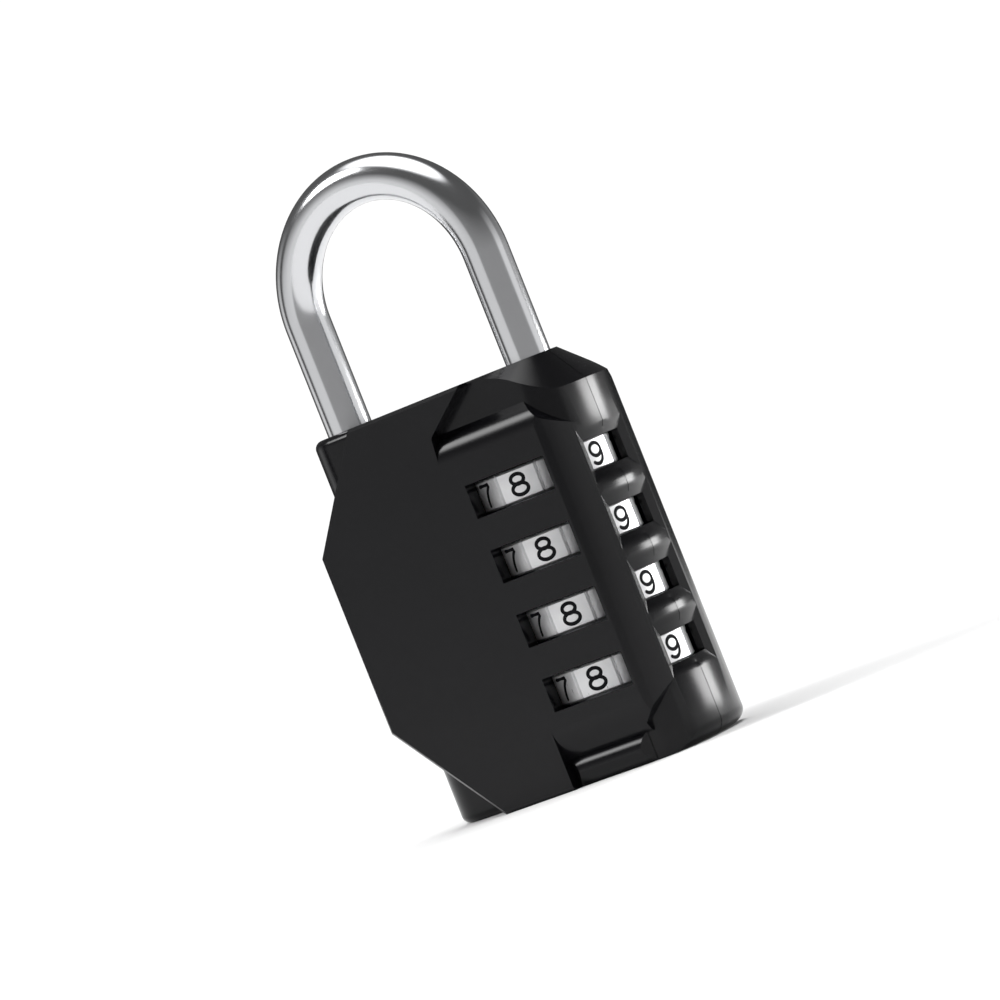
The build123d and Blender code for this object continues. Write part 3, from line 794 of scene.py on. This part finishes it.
class PADLOCK_OT_stage(bpy.types.Operator):
    """Pale floor, soft studio light and the camera"""

    bl_idname = "padlock.stage"
    bl_label = "Stage"

    def execute(self, context):
        scene = context.scene
        settings = scene.padlock_stage
        self.camera(scene, settings)
        self.floor()
        self.world(scene)
        self.lights()
        scene.view_settings.view_transform = "Standard"
        return {"FINISHED"}

    def camera(self, scene, settings):
        a, e, roll = settings.azimuth, settings.elevation, settings.roll
        back = Vector((math.sin(a) * math.cos(e), -math.cos(a) * math.cos(e), math.sin(e)))
        right = Vector((math.cos(a), math.sin(a), 0))
        up = back.cross(right)
        aim = Vector((0, 0, settings.aim_height)) + right * settings.aim_right
        across = right * math.cos(roll) - up * math.sin(roll)
        upward = right * math.sin(roll) + up * math.cos(roll)
        data = bpy.data.cameras.new("camera")
        data.lens = data.sensor_width * settings.distance / settings.view_width
        data.clip_start, data.clip_end = 0.01, 20
        camera = bpy.data.objects.new("camera", data)
        scene.collection.objects.link(camera)
        turn = Matrix((across, upward, back)).transposed()
        camera.matrix_world = Matrix.Translation(aim + back * settings.distance) @ turn.to_4x4()
        scene.camera = camera

    def floor(self):
        work = bmesh.new()
        bmesh.ops.create_circle(work, cap_ends=True, segments=96, radius=0.5)
        mesh = bpy.data.meshes.new("floor")
        work.to_mesh(mesh)
        work.free()
        s = Shader("pale_floor")
        s.feed(Base_Color=(0.92, 0.92, 0.92), Roughness=0.9)
        ground = mesh_object("floor", mesh, s.material)

    def world(self, scene):
        """White behind the lock; round it, upright panels of light and shade."""
        world = bpy.data.worlds.new("studio")
        scene.world = world
        world.use_nodes = True
        tree = world.node_tree
        place = tree.nodes.new("ShaderNodeTexCoord")
        split = tree.nodes.new("ShaderNodeSeparateXYZ")
        tree.links.new(place.outputs["Generated"], split.inputs[0])
        x, y, z = (Value(tree, socket) for socket in split.outputs)
        azimuth = y.angle_to(x) * (180 / math.pi)

        def panel(start, stop, edge):
            rise = ((azimuth - start) / edge + 0.5).clamped()
            fall = ((stop - azimuth) / edge + 0.5).clamped()
            return rise * fall

        def spot(turn, height, inner, outer):
            a, e = math.radians(turn), math.radians(height)
            flat = math.cos(e)
            aligned = x * (math.cos(a) * flat) + y * (math.sin(a) * flat) + z * math.sin(e)
            near, far = math.cos(math.radians(inner)), math.cos(math.radians(outer))
            return ((aligned - far) / (near - far)).clamped()

        lower = LOWER_GLOW
        for start, stop, edge, strength in PANELS:
            lower = lower + strength * panel(start, stop, edge)
        glow = UPPER_GLOW + (1.0 - z * LOWER_FADE).clamped() * lower
        for turn, height, inner, outer, strength in SPOTS:
            glow = glow + strength * spot(turn, height, inner, outer)
        studio = tree.nodes["Background"]
        studio.inputs["Color"].default_value = (1, 1, 1, 1)
        tree.links.new(glow.socket, studio.inputs["Strength"])
        seen = tree.nodes.new("ShaderNodeBackground")
        seen.inputs["Color"].default_value = (1, 1, 1, 1)
        seen.inputs["Strength"].default_value = SEEN_GLOW
        path = tree.nodes.new("ShaderNodeLightPath")
        mix = tree.nodes.new("ShaderNodeMixShader")
        tree.links.new(path.outputs["Is Camera Ray"], mix.inputs[0])
        tree.links.new(studio.outputs[0], mix.inputs[1])
        tree.links.new(seen.outputs[0], mix.inputs[2])
        tree.links.new(mix.outputs[0], tree.nodes["World Output"].inputs["Surface"])

    def lights(self):
        soft_box(
            "side_box", azimuth=53, elevation=0, reach=0.23,
            width=0.085, height=0.155, glow=14, aim=-0.022)


# ------------------------------------------------------------------ panel and run


OPERATORS = (
    PADLOCK_OT_casing,
    PADLOCK_OT_shackle,
    PADLOCK_OT_dials,
    PADLOCK_OT_inner_parts,
    PADLOCK_OT_stage,
)


class PADLOCK_PT_panel(bpy.types.Panel):
    """Sizes, finishes and buttons of the padlock"""

    bl_label = "Padlock"
    bl_space_type = "VIEW_3D"
    bl_region_type = "UI"
    bl_category = "Padlock"

    def draw(self, context):
        scene = context.scene
        for group in (scene.padlock_sizes, scene.padlock_finishes, scene.padlock_stage):
            for key in group.__annotations__:
                self.layout.prop(group, key)
        for operator in OPERATORS:
            self.layout.operator(operator.bl_idname)


GROUPS = {
    "padlock_sizes": PadlockSizes,
    "padlock_finishes": PadlockFinishes,
    "padlock_stage": PadlockStage,
}


def register():
    for group in GROUPS.values():
        bpy.utils.register_class(group)
    for name, group in GROUPS.items():
        setattr(bpy.types.Scene, name, PointerProperty(type=group))
    for operator in OPERATORS:
        bpy.utils.register_class(operator)
    bpy.utils.register_class(PADLOCK_PT_panel)


def unregister():
    bpy.utils.unregister_class(PADLOCK_PT_panel)
    for operator in reversed(OPERATORS):
        bpy.utils.unregister_class(operator)
    for name in GROUPS:
        delattr(bpy.types.Scene, name)
    for group in reversed(GROUPS.values()):
        bpy.utils.unregister_class(group)


def main():
    register()
    bpy.ops.padlock.casing()
    bpy.ops.padlock.shackle()
    bpy.ops.padlock.dials()
    bpy.ops.padlock.inner_parts()
    bpy.ops.padlock.stage()


if __name__ == "__main__":
    main()
